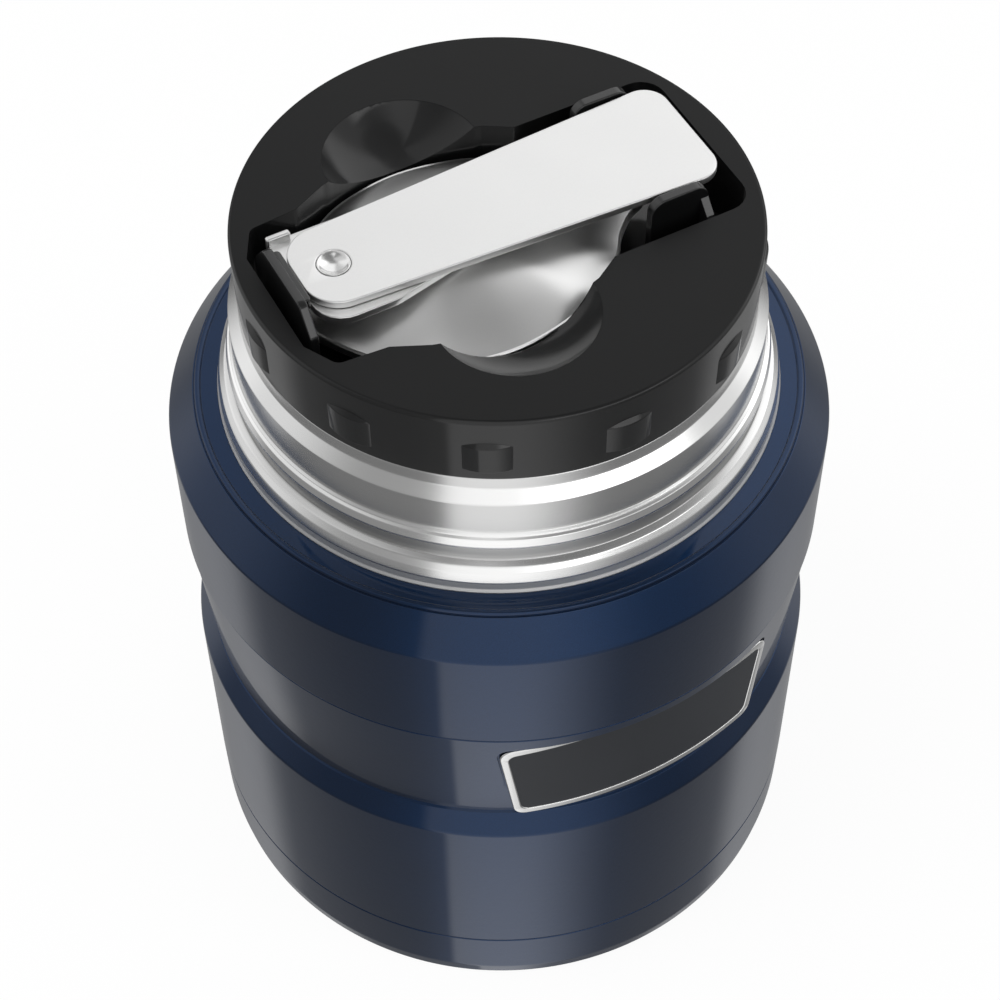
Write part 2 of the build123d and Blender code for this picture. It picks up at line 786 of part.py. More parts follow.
pieces = {
    "outer_shell": outer_shell,
    "base_cup": base_cup,
    "end_plate": end_plate,
    "vacuum_seal": vacuum_seal,
    "getter": getter,
    "steel_neck": steel_neck,
    "inner_vessel": inner_vessel,
    "heat_foil": heat_foil,
    "badge_plate": badge_plate,
    "badge_inlay": badge_inlay,
    "stopper_top": stopper_top,
    "spoon_tray": spoon_tray,
    "plug_body": plug_body,
    "plug_foam": plug_foam,
    "stopper_seal": stopper_seal,
    "spoon_latch": spoon_latch,
    "spoon_clips": spoon_clips,
    "spoon_bowl": spoon_bowl,
    "spoon_tongue": spoon_tongue,
    "spoon_rivet": spoon_rivet,
    "spoon_handle": spoon_handle,
}

os.makedirs("parts", exist_ok=True)
for name, make in pieces.items():
    made = make()
    solids = made if isinstance(made, list) else made.solids()
    shape = solids[0] if len(solids) == 1 else Compound(children=[item for part in solids for item in part.solids()])
    export_step(shape, f"parts/{name}.step")
    print(name, len(shape.solids()), round(shape.volume, 1))
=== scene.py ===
"""Insulated food jar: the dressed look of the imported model, laid out as a Blender add-on."""
import math

import bmesh
import bpy
import numpy as np
from mathutils import Euler, Matrix, Vector


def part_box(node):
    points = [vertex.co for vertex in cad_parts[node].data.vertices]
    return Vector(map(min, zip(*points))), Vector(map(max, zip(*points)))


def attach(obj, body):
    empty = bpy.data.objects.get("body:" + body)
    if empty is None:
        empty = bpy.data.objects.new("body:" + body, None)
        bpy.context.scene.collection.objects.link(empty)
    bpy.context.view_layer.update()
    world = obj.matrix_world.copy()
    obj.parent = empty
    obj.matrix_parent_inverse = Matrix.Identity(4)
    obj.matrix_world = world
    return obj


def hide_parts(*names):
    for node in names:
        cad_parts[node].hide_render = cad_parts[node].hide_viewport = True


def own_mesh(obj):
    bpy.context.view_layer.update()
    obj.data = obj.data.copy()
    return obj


bl_info = {
    "name": "Insulated Food Jar",
    "version": (1, 0, 0),
    "blender": (4, 5, 0),
    "location": "View3D > Sidebar > Food Jar",
    "description": "Dresses the food jar: painted shell, steel neck, stopper and folding spoon",
    "category": "Object",
}

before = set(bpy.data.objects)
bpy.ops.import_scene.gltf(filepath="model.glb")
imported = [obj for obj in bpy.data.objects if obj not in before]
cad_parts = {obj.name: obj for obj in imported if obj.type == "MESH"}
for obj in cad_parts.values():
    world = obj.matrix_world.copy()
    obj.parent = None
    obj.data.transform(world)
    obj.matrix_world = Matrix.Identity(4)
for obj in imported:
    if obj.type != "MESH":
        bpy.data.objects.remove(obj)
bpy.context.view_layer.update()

MM = 0.001
# turns about Z of the spoon's slot and of the badge
SLOT_TURN = math.radians(27.8)
BADGE_TURN = math.radians(26.8)
# places along the slot from the jar's axis, and sizes, in millimetres
BOWL_CROWN_U = -6.5
RIVET_U = -23.6
BOWL_HALF_WIDTH = 17.6
BOWL_WALL = 1.2
MOUTH_RADIUS = 34.0
# the flattened pad behind the badge: its curve, and how far its face is from the axis
PAD_RADIUS, PAD_FACE = 59.0, 44.6


def top_of(node):
    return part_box(node)[1][2] / MM


def low_of(node):
    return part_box(node)[0][2] / MM


LID_TOP = top_of("stopper_top")
SKIRT_LOW = low_of("stopper_top")
FLOOR = top_of("spoon_tray")
PLUG_LOW = low_of("plug_body")
LIP_TOP = top_of("steel_neck")
RIM = low_of("steel_neck") + 1.0
SEAM = low_of("outer_shell")
BADGE_LOW = low_of("badge_plate")
BOWL_LOW = low_of("spoon_bowl")
BOWL_RIM = BOWL_LOW + 1.5
BOWL_CROWN = low_of("spoon_tongue")
TONGUE_TOP = BOWL_CROWN + 1.2
HANDLE_LOW = low_of("spoon_handle")
HANDLE_TOP = top_of("spoon_handle")


# ---- sizes and colours a user may change


def colour_setting(name, description, default):
    return bpy.props.FloatVectorProperty(name=name, description=description, default=default, subtype="COLOR")


def number_setting(name, description, default, **kind):
    return bpy.props.FloatProperty(name=name, description=description, default=default, **kind)


class JarSettings(bpy.types.PropertyGroup):
    round_steps: bpy.props.IntProperty(
        name="Round Steps", description="Faces round the jar's turned pieces",
        default=256, min=48, max=512,
    )
    lid_edge: number_setting("Lid Edge", "Rounding of the recess and scoop edges", 0.55 * MM, unit="LENGTH")
    thread_lead: number_setting("Thread Lead", "Rise of the thread in one turn", 10 * MM, unit="LENGTH")
    thread_turns: number_setting("Thread Turns", "Turns in each of its two starts", 0.9, min=0.2, max=2.0)
    paint_colour: colour_setting("Paint", "Colour of the painted shell", (0.007, 0.028, 0.082))
    steel_colour: colour_setting("Steel", "Colour of the bare steel", (0.60, 0.60, 0.597))
    plastic_colour: colour_setting("Lid Plastic", "Colour of the stopper's lid", (0.0044, 0.0045, 0.0047))
    badge_colour: colour_setting("Badge Field", "Colour inside the badge's frame", (0.022, 0.024, 0.028))
    silicone_colour: colour_setting("Silicone", "Colour of the stopper's sealing ring", (0.30, 0.31, 0.32))
    light_power: number_setting(
        "Light Power", "Power of the main soft light", 3.2, min=0.0, max=60.0, unit="POWER",
    )


# ---- node trees


class Term:
    """One output in a node tree, so that node maths reads as plain sums."""

    def __init__(self, board, socket):
        self.board = board
        self.socket = socket

    def __add__(self, other):
        return self.board.maths("ADD", self, other)

    def __sub__(self, other):
        return self.board.maths("SUBTRACT", self, other)

    def __rsub__(self, other):
        return self.board.maths("SUBTRACT", other, self)

    def __mul__(self, other):
        return self.board.maths("MULTIPLY", self, other)

    def __rtruediv__(self, other):
        return self.board.maths("DIVIDE", other, self)

    __radd__ = __add__


class Board:
    """A node tree that is wired by plain calls."""

    def __init__(self, tree):
        self.tree = tree

    def feed(self, socket, value):
        """Link a term to a socket, or set the socket's own value."""
        if isinstance(value, Term):
            self.tree.links.new(value.socket, socket)
        else:
            socket.default_value = value

    def node(self, kind, settings=None, inputs=None, output=0):
        """Add a node: its settings first, then its sockets by name or number, and return one output."""
        made = self.tree.nodes.new(kind)
        for key, value in (settings or {}).items():
            setattr(made, key, value)
        for key, value in (inputs or {}).items():
            self.feed(made.inputs[key], value)
        return Term(self, made.outputs[output])

    def maths(self, operation, *values):
        return self.node("ShaderNodeMath", {"operation": operation}, dict(enumerate(values)))

    def ease(self, value, low, high, start=0.0, end=1.0):
        """Smooth step from start to end as the value goes from low to high."""
        return self.node("ShaderNodeMapRange", {"interpolation_type": "SMOOTHSTEP"}, {
            "Value": value, "From Min": low, "From Max": high, "To Min": start, "To Max": end,
        })

    def window(self, value, opens, opened, closes, closed):
        """Rise smoothly from 0 to 1 between the first two values and back to 0 between the last two."""
        return self.ease(value, opens, opened) * self.ease(value, closes, closed, 1.0, 0.0)


class ShaderBoard(Board):
    """The node tree of a material or a world, emptied first."""

    def __init__(self, owner):
        owner.use_nodes = True
        super().__init__(owner.node_tree)
        self.tree.nodes.clear()

    def parts_of(self, vector):
        split = self.tree.nodes.new("ShaderNodeSeparateXYZ")
        self.feed(split.inputs[0], vector)
        return [Term(self, socket) for socket in split.outputs]

    def end(self, kind, surface):
        self.feed(self.tree.nodes.new(kind).inputs["Surface"], surface)


class Finish(ShaderBoard):
    """One material's node tree, with a Principled shader at its end."""

    def __init__(self, name, **constants):
        self.material = bpy.data.materials.new(name)
        super().__init__(self.material)
        surface = self.node("ShaderNodeBsdfPrincipled")
        self.shader = surface.socket.node
        self.end("ShaderNodeOutputMaterial", surface)
        for key, value in constants.items():
            self.set(key.replace("_", " ").title().replace("Ior", "IOR"), value)
        self.place = self.node("ShaderNodeTexCoord", output="Object")

    def set(self, key, value):
        self.feed(self.shader.inputs[key], value)

    def noise(self, scale, detail, roughness=0.55, at=None):
        """Fractal noise with its scale in features per metre."""
        wanted = {"Vector": at or self.place, "Scale": scale, "Detail": detail, "Roughness": roughness}
        return self.node("ShaderNodeTexNoise", None, wanted)

    def stretched(self, x, y, z, turn):
        """Object coordinates stretched along an axis, for grain that runs one way."""
        return self.node("ShaderNodeMapping", None, {
            "Vector": self.place, "Scale": (x, y, z), "Rotation": (0, 0, turn),
        })

    def round_axis(self):
        """Radius, height and a slow drift across as a vector, for lines left by turning."""
        x, y, z = self.parts_of(self.place)
        radius = self.maths("SQRT", x * x + y * y)
        return self.node("ShaderNodeCombineXYZ", None, {0: radius, 1: z, 2: x * 0.02 + y * 0.013})

    def blend_colour(self, mask, first, second):
        """Mix of two colours, each a term or a plain colour; sockets 6 and 7 and output 2 carry colours."""
        first, second = (end if isinstance(end, Term) else (*end, 1.0) for end in (first, second))
        inputs = {"Factor": mask, 6: first, 7: second}
        return self.node("ShaderNodeMix", {"data_type": "RGBA"}, inputs, output=2)

    def mottled(self, mask, colour, deep, pale):
        """The colour times deep where the mask is 0 and times pale where it is 1."""
        return self.blend_colour(mask, tinted(colour, deep), tinted(colour, pale))

    def bump(self, height, distance, strength):
        self.set("Normal", self.node("ShaderNodeBump", None, {
            "Height": height, "Distance": distance, "Strength": strength,
        }))


def tinted(colour, factor):
    return tuple(channel * factor for channel in colour)


def paint_finish(settings):
    """Metallic flake under a clear lacquer, with a trace of orange peel."""
    finish = Finish("blue_lacquer", metallic=1.0, coat_weight=0.65, coat_roughness=0.04, coat_ior=1.5)
    cloud = finish.noise(38, 2.0)
    flake = finish.noise(9000, 1.0)
    sparkle = finish.ease(flake * 0.7 + cloud * 0.3, 0.35, 0.65)
    finish.set("Base Color", finish.mottled(sparkle, settings.paint_colour, 0.88, 1.14))
    finish.set("Roughness", 0.32 + cloud * 0.08)
    peel = finish.noise(900, 2.0)
    finish.bump(peel, 0.03 * MM, 0.3)
    return finish.material


def turned_steel_finish(name, colour, rough, lit_and_shaded_bands=()):
    """Bare steel with the fine rings that turning leaves, and bands of painted highlight and painted shade.

    Each band is a low and a high in millimetres, a factor on the colour that paints a highlight above 1 or
    shade below 1, and an addition to the roughness.
    """
    finish = Finish(name, metallic=1.0)
    rings = finish.noise(5200, 3.0, 0.7, finish.round_axis())
    cloud = finish.noise(60, 3.0)
    height = finish.parts_of(finish.place)[2]
    edge = 0.2 * MM
    shade = finish.mottled(rings * 0.5 + cloud * 0.5, colour, 0.9, 1.08)
    # each band paints a highlight or shade into the colour by height and adds roughness
    for low, high, factor, dull in lit_and_shaded_bands:
        low, high = low * MM, high * MM
        band = finish.window(height, low - edge, low + edge, high - edge, high + edge)
        shade = finish.blend_colour(band, shade, tinted(colour, factor))
        rough = rough + band * dull
    finish.set("Base Color", shade)
    finish.set("Roughness", rough + rings * 0.06 + cloud * 0.04)
    finish.bump(rings, 0.006 * MM, 0.4)
    return finish.material


def spoon_finish(name, colour, rough, hairlines=0.4):
    """Tumbled and polished steel: hairlines along the spoon and soft smudges."""
    finish = Finish(name, metallic=1.0)
    hair = finish.noise(900, 4.0, 0.7, finish.stretched(0.35, 9.0, 3.0, SLOT_TURN))
    grit = finish.noise(5000, 2.0)
    cloud = finish.noise(120, 3.0)
    mix = hair * hairlines + grit * (1.0 - hairlines)
    finish.set("Base Color", finish.mottled(mix, colour, 0.96, 1.03))
    finish.set("Roughness", rough + mix * 0.06 + cloud * 0.05)
    finish.bump(mix, 0.004 * MM, 0.4)
    return finish.material


def plastic_finish(name, colour, rough, grain=0.02 * MM, gloss=0.6, dull_above=None):
    """Moulded polypropylene, glossy up to a height if one is given and dull above it."""
    finish = Finish(name, specular_ior_level=0.22, coat_roughness=0.08)
    grain_noise = finish.noise(3400, 2.0, 0.6)
    cloud = finish.noise(70, 2.0)
    finish.set("Base Color", finish.mottled(cloud, colour, 0.88, 1.15))
    finish.set("Roughness", rough + cloud * 0.08 + grain_noise * 0.05)
    if dull_above:
        height = finish.parts_of(finish.place)[2]
        gloss = finish.ease(height, (dull_above - 0.12) * MM, (dull_above - 0.03) * MM, gloss, 0.0)
    finish.set("Coat Weight", gloss)
    finish.bump(grain_noise, grain, 0.35)
    return finish.material


def soft_finish(name, colour, rough, scale, depth):
    """Silicone, foam and other dull soft fills."""
    finish = Finish(name, ior=1.42)
    pores = finish.noise(scale, 4.0, 0.6)
    finish.set("Base Color", finish.mottled(pores, colour, 0.85, 1.1))
    finish.set("Roughness", rough + pores * 0.1)
    finish.bump(pores, depth, 0.5)
    return finish.material


def finish_named(name):
    """The material of that name, made the first time that it is asked for."""
    label = "finish_" + name
    if label in bpy.data.materials:
        return bpy.data.materials[label]
    settings = bpy.context.scene.food_jar
    steel, plastic = settings.steel_colour, settings.plastic_colour
    makers = {
        "blue_lacquer": lambda: paint_finish(settings),
        # the neck's bands: the flare's foot painted a little lighter and made rougher, painted highlights on
        # the roll, bead and bevel, painted shade in the cove
        "neck_steel": lambda: turned_steel_finish(name, tinted(steel, 1.22), 0.16, [
            (RIM - 1.0, RIM + 1.7, 1.1, 0.34), (RIM + 1.8, RIM + 4.0, 1.36, 0.0),
            (RIM + 4.4, RIM + 6.7, 0.7, 0.1), (RIM + 6.8, RIM + 9.3, 1.36, 0.0),
            (LIP_TOP - 3.3, LIP_TOP - 1.7, 1.36, 0.0),
        ]),
        "vessel_steel": lambda: turned_steel_finish(name, tinted(steel, 0.92), 0.26),
        "dull_steel": lambda: turned_steel_finish(name, tinted(steel, 0.7), 0.42),
        "spoon_steel": lambda: spoon_finish(name, tinted(steel, 1.35), 0.27),
        "rivet_steel": lambda: spoon_finish(name, tinted(steel, 1.4), 0.13, 0.0),
        "handle_steel": lambda: spoon_finish(name, tinted(steel, 1.5), 0.34, 0.1),
        "badge_steel": lambda: spoon_finish(name, tinted(steel, 1.4), 0.14, 0.0),
        "badge_field": lambda: plastic_finish(name, settings.badge_colour, 0.42, 0.008 * MM, 0.0),
        "lid_plastic": lambda: plastic_finish(name, plastic, 0.38, dull_above=LID_TOP),
        "tray_plastic": lambda: plastic_finish(name, plastic, 0.30, gloss=1.0),
        "plug_plastic": lambda: plastic_finish(name, tinted(plastic, 1.6), 0.34, gloss=0.3),
        "silicone": lambda: soft_finish(name, settings.silicone_colour, 0.42, 1500, 0.01 * MM),
        "foam": lambda: soft_finish(name, (0.78, 0.75, 0.66), 0.85, 2200, 0.2 * MM),
        "bright_foil": lambda: soft_finish(name, (0.75, 0.75, 0.76), 0.2, 300, 0.1 * MM),
    }
    made = makers[name]()
    made.name = label
    return made


# ---- mesh helpers (sizes in millimetres)


def piece_from(name, vertices, faces, finish, sharp=32.0):
    """A smooth-shaded object at the origin from millimetre vertices, with sharp edges kept by angle."""
    mesh = bpy.data.meshes.new(name)
    mesh.from_pydata([tuple(value * MM for value in vertex) for vertex in vertices], [], faces)
    return dressed(name, mesh, finish, sharp)


def dressed(name, mesh, finish, sharp=32.0):
    mesh.name = name
    build = bmesh.new()
    build.from_mesh(mesh)
    bmesh.ops.remove_doubles(build, verts=build.verts, dist=1e-7)
    bmesh.ops.recalc_face_normals(build, faces=build.faces)
    build.to_mesh(mesh)
    build.free()
    mesh.shade_smooth()
    mesh.set_sharp_from_angle(angle=math.radians(sharp))
    mesh.materials.clear()
    mesh.materials.append(finish_named(finish))
    made = loose(name, mesh)
    # flat faces keep their own normals beside rounded edges
    weights = made.modifiers.new("even", "WEIGHTED_NORMAL")
    weights.keep_sharp = True
    return loose(name, evaluated_mesh(made))


def loose(name, data):
    """A mesh, curve, light or camera as an object in the scene."""
    made = bpy.data.objects.new(name, data)
    bpy.context.scene.collection.objects.link(made)
    return made


def evaluated_mesh(made):
    """The object's mesh with its modifiers applied; the object itself is removed."""
    bpy.context.view_layer.update()
    graph = bpy.context.evaluated_depsgraph_get()
    mesh = bpy.data.meshes.new_from_object(made.evaluated_get(graph))
    mesh.transform(made.matrix_world)
    bpy.data.objects.remove(made)
    return mesh


def rounded_path(corners, steps=6):
    """A closed path from corners as (x, y) or (x, y, rounding), with rounded corners turned into arcs."""
    path = []
    for index, corner in enumerate(corners):
        here = Vector(corner[:2])
        if len(corner) == 2:
            path.append(tuple(here))
            continue
        radius = corner[2]
        before = (Vector(corners[index - 1][:2]) - here).normalized()
        after = (Vector(corners[(index + 1) % len(corners)][:2]) - here).normalized()
        angle = before.angle(after)
        reach = radius / math.tan(angle / 2)
        centre = here + (before + after).normalized() * radius / math.sin(angle / 2)
        start = here + before * reach - centre
        sweep = start.angle_signed(here + after * reach - centre)
        for step in range(steps + 1):
            turn = -sweep * step / steps
            path.append((
                centre.x + start.x * math.cos(turn) - start.y * math.sin(turn),
                centre.y + start.x * math.sin(turn) + start.y * math.cos(turn),
            ))
    return path


def turned(name, corners, finish, sharp=32.0, dense=None):
    """Spin a closed outline of (radius, height) corners about Z."""
    path = rounded_path(corners)
    if dense:
        path = divided(path, dense)
    steps = bpy.context.scene.food_jar.round_steps
    vertices, faces, rows = [], [], []
    for radius, height in path:
        if radius < 1e-6:
            rows.append([len(vertices)] * steps)
            vertices.append((0, 0, height))
            continue
        rows.append(list(range(len(vertices), len(vertices) + steps)))
        for step in range(steps):
            turn = math.tau * step / steps
            vertices.append((radius * math.sin(turn), -radius * math.cos(turn), height))
    for index, row in enumerate(rows):
        following = rows[(index + 1) % len(rows)]
        if row[0] == row[1] and following[0] == following[1]:
            continue
        for step in range(steps):
            after = (step + 1) % steps
            face = list(dict.fromkeys((row[step], row[after], following[after], following[step])))
            if len(face) > 2:
                faces.append(face)
    return piece_from(name, vertices, faces, finish, sharp)


def divided(path, longest):
    """Split the long runs of a closed path."""
    points = []
    for index, (x, y) in enumerate(path):
        next_x, next_y = path[(index + 1) % len(path)]
        step_x, step_y = next_x - x, next_y - y
        parts = max(1, math.ceil(math.hypot(step_x, step_y) / longest))
        points += [(x + step_x * part / parts, y + step_y * part / parts) for part in range(parts)]
    return points


def plate(name, outlines, low, high, edge=0.0):
    """A flat plate from closed outlines (the first outside, the rest holes), with rounded rims, as a mesh."""
    curve = bpy.data.curves.new(name, "CURVE")
    curve.dimensions = "2D"
    curve.fill_mode = "BOTH"
    for outline in outlines:
        spline = curve.splines.new("POLY")
        spline.points.add(len(outline) - 1)
        for point, (x, y) in zip(spline.points, outline):
            point.co = (x * MM, y * MM, 0, 1)
        spline.use_cyclic_u = True
    half = (high - low) / 2 * MM
    curve.extrude = half - edge * MM
    curve.bevel_depth = edge * MM
    curve.offset = -edge * MM
    curve.bevel_resolution = 3
    mesh = evaluated_mesh(loose(name, curve))
    mesh.transform(Matrix.Translation((0, 0, (low + high) / 2 * MM)))
    return mesh


def along_slot(mesh):
    """Turn a mesh drawn in the slot's own plan into its place on the stopper."""
    mesh.transform(Matrix.Rotation(SLOT_TURN, 4, "Z"))
    return mesh


def cut(base, tools, edge=0.0):
    """Take the tools out of the base and round the edges that this leaves by an edge in metres."""
    for tool in tools:
        modifier = base.modifiers.new("cut", "BOOLEAN")
        modifier.operation = "DIFFERENCE"
        modifier.solver = "EXACT"
        modifier.object = tool
    if edge:
        bevel = base.modifiers.new("edge", "BEVEL")
        bevel.width = edge
        bevel.segments = 3
        bevel.limit_method = "ANGLE"
        bevel.angle_limit = math.radians(38)
        bevel.use_clamp_overlap = True
    mesh = evaluated_mesh(base)
    for tool in tools:
        bpy.data.objects.remove(tool)
    return mesh


# ---- geometry node trees


class NodeBoard(Board):
    """A Geometry Nodes tree with named inputs."""

    def __init__(self, name, inputs):
        super().__init__(bpy.data.node_groups.new(name, "GeometryNodeTree"))
        self.tree.is_modifier = True
        face = self.tree.interface
        face.new_socket("Geometry", in_out="OUTPUT", socket_type="NodeSocketGeometry")
        self.sockets = {}
        for label, (kind, value) in inputs.items():
            socket = face.new_socket(label, in_out="INPUT", socket_type="NodeSocket" + kind)
            self.sockets[label] = socket
            if value is not None:
                socket.default_value = value
        self.entry = self.tree.nodes.new("NodeGroupInput")

    def value(self, label):
        return Term(self, self.entry.outputs[label])

    def finish(self, geometry, material):
        realized = self.node("GeometryNodeRealizeInstances", None, {"Geometry": geometry})
        painted = self.node("GeometryNodeSetMaterial", None, {"Geometry": realized, "Material": material})
        self.feed(self.tree.nodes.new("NodeGroupOutput").inputs[0], painted)

    def grown(self, name, values, finish):
        """Run the tree on an empty object and return the result as a plain piece."""
        holder = loose(name, bpy.data.meshes.new(name))
        modifier = holder.modifiers.new("grow", "NODES")
        modifier.node_group = self.tree
        for label, value in values.items():
            modifier[self.sockets[label].identifier] = value
        return dressed(name, evaluated_mesh(holder), finish)


def thread_board():
    """Raised helical threads: each start is a spiral of a blunt tooth that runs out at both ends."""
    board = NodeBoard("Screw Thread", {
        "Radius": ("Float", 32 * MM), "Depth": ("Float", 1 * MM), "Width": ("Float", 1.6 * MM),
        "Lead": ("Float", 10 * MM), "Turns": ("Float", 0.9), "Low": ("Float", 98 * MM), "Starts": ("Int", 2),
        "First Angle": ("Float", 0.0), "Material": ("Material", None),
    })
    radius, width, turns, starts = (board.value(label) for label in ("Radius", "Width", "Turns", "Starts"))
    line = board.node("GeometryNodeCurvePrimitiveLine", None, {"End": (0, 0, 1)})
    line = board.node("GeometryNodeResampleCurve", None, {"Curve": line, "Count": 160})
    along = board.node("GeometryNodeSplineParameter")
    turn = along * turns * math.tau
    spot = board.node("ShaderNodeCombineXYZ", None, {
        "X": board.maths("COSINE", turn) * radius,
        "Y": board.maths("SINE", turn) * radius,
        "Z": along * (board.value("Lead") * turns) + board.value("Low"),
    })
    line = board.node("GeometryNodeSetPosition", None, {"Geometry": line, "Position": spot})
    line = board.node("GeometryNodeSetCurveNormal", {"mode": "Z_UP"}, {"Curve": line})
    # the tooth shrinks over the last tenth at either end
    swell = board.ease(board.maths("MINIMUM", along, 1.0 - along), 0.0, 0.1, 0.12, 1.0)
    tooth = board.node("GeometryNodeCurvePrimitiveQuadrilateral", {"mode": "TRAPEZOID"}, {
        "Height": board.value("Depth") * 2.0, "Offset": 0.0, "Bottom Width": width, "Top Width": width * 0.45,
    })
    tooth = board.node("GeometryNodeTransform", None, {"Geometry": tooth, "Rotation": (0, 0, -math.pi / 2)})
    tooth = board.node("GeometryNodeFilletCurve", {"mode": "POLY"}, {
        "Curve": tooth, "Count": 3, "Radius": width * 0.14,
    })
    swept = board.node("GeometryNodeCurveToMesh", None, {
        "Curve": line, "Profile Curve": tooth, "Scale": swell, "Fill Caps": True,
    })
    middle = board.node("GeometryNodeMeshLine", {"mode": "OFFSET"}, {"Count": starts, "Offset": (0, 0, 0)})
    angle = board.node("GeometryNodeInputIndex") * (math.tau / starts) + board.value("First Angle")
    spin = board.node("ShaderNodeCombineXYZ", None, {"Z": angle})
    copies = board.node("GeometryNodeInstanceOnPoints", None, {
        "Points": middle, "Instance": swept, "Rotation": spin,
    })
    board.finish(copies, board.value("Material"))
    return board


def stopper_thread(name, radius, depth, width, first, finish):
    """The two-start thread at the height that the mouth and the plug share."""
    settings = bpy.context.scene.food_jar
    return thread_board().grown(name, {
        "Radius": radius * MM, "Depth": depth * MM, "Width": width * MM, "Lead": settings.thread_lead,
        "Turns": settings.thread_turns, "Low": (LIP_TOP - 12.7) * MM, "Starts": 2, "First Angle": first,
        "Material": finish_named(finish),
    }, finish)


# ---- painted body


class JAR_OT_painted_body(bpy.types.Operator):
    """Make the shell with its waist, crease, shoulder and badge pad, and the base cup under its seam."""

    bl_idname = "jar.painted_body"
    bl_label = "Painted Body"

    def execute(self, context):
        bevel, waist, crease, shoulder, ridge = (SEAM + rise for rise in (32.2, 35.5, 57.9, 76.7, 81.9))
        wide, pinch, groove, upper, lining = 47.13, 45.1, 44.72, 47.0, 46.0
        shell = turned("painted_shell", [
            (46.1, SEAM), (wide, SEAM, 0.2), (wide, bevel, 1.2), (pinch, waist, 0.15),
            (groove, waist + 0.2, 0.08), (groove, waist + 0.62, 0.08), (pinch, waist + 0.85, 0.15),
            (46.8, crease - 0.5, 0.1), (46.55, crease - 0.35, 0.06), (46.55, crease - 0.1, 0.06),
            (upper, crease + 0.1, 0.2), (upper, shoulder, 0.9), (43.1, ridge, 0.15),
            (42.9, ridge - 0.12, 0.05), (42.8, ridge + 0.5, 0.28), (42.1, ridge + 0.5, 0.25),
            (41.9, RIM - 0.2, 0.1), (39.6, RIM), (39.6, RIM - 0.9), (42.6, RIM - 0.9),
            (lining, shoulder - 0.5), (lining, crease), (43.8, waist), (46.1, bevel - 0.3),
        ], "blue_lacquer", dense=2.0)
        pocket = bent_plate("badge_pocket", [-0.3], 0, 4.0, 0, "blue_lacquer")
        shell = dressed("painted_shell", cut(shell, [pocket], 0.2 * MM), "blue_lacquer")
        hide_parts("outer_shell")
        cup_top, tongue_top = SEAM - 0.15, SEAM + 2.3
        cup = turned("base_cup_shell", [
            (0, 1.5), (42.2, 1.5, 0.8), (43.0, 0, 0.6), (46.6, 0, 0.4), (upper, 2.5, 4.0),
            (wide, cup_top, 0.2), (lining, cup_top), (lining, tongue_top, 0.3), (45.0, tongue_top, 0.3),
            (45.0, 2.7, 1.0), (0, 2.7),
        ], "blue_lacquer")
        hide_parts("base_cup")
        for piece in (shell, cup):
            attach(piece, "jar")
        return {"FINISHED"}


# ---- badge


def badge_outline(inset):
    """Rounded trapezoid with a crowned top, about the badge's own middle."""
    height, top_half, low_half, crown_rise, parts = 16.6, 21.3, 19.1, 1.3, 8
    corner = 1.8 - inset * 0.5
    slope = (top_half - low_half) / height
    low, high = inset, height - inset
    low_x, high_x = low_half + slope * inset - inset, top_half - slope * inset - inset
    across = [1 - step / parts for step in range(1, 2 * parts)]
    crown = [(high_x * share, high + crown_rise * (1 - share ** 2)) for share in across]
    corners = [(-low_x, low, corner), (low_x, low, corner), (high_x, high, corner)]
    return rounded_path(corners + crown + [(-high_x, high, corner)])


def bent_plate(name, insets, low, high, edge, finish):
    """A plate of the badge's outline, less the insets, drawn flat and bent round the pad."""
    mesh = plate(name, [badge_outline(inset) for inset in insets], low, high, edge)
    build = bmesh.new()
    build.from_mesh(mesh)
    for cut_x in range(-21, 22):
        everything = build.verts[:] + build.edges[:] + build.faces[:]
        bmesh.ops.bisect_plane(build, geom=everything, plane_co=(cut_x * MM, 0, 0), plane_no=(1, 0, 0))
    for vertex in build.verts:
        across, up, out = vertex.co
        reach = PAD_RADIUS * MM + out
        turn = math.asin(across / (PAD_RADIUS * MM))
        back = (PAD_RADIUS - PAD_FACE) * MM
        vertex.co = (reach * math.sin(turn), -reach * math.cos(turn) + back, BADGE_LOW * MM + up)
    build.to_mesh(mesh)
    build.free()
    mesh.transform(Matrix.Rotation(BADGE_TURN, 4, "Z"))
    return dressed(name, mesh, finish)


class JAR_OT_badge(bpy.types.Operator):
    """Make the badge's bright frame and the plain dark field inside it."""

    bl_idname = "jar.badge"
    bl_label = "Badge"

    def execute(self, context):
        rim = bent_plate("badge_frame", [0, 1.15], 0, 1.0, 0.22, "badge_steel")
        back = bent_plate("badge_back", [0.25], -0.6, 0.6, 0.05, "badge_steel")
        field = bent_plate("badge_field_plate", [1.13], 0.5, 0.84, 0.05, "badge_field")
        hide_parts("badge_plate")
        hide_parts("badge_inlay")
        for piece in (rim, back, field):
            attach(piece, "jar")
        return {"FINISHED"}


# ---- steel neck and food vessel


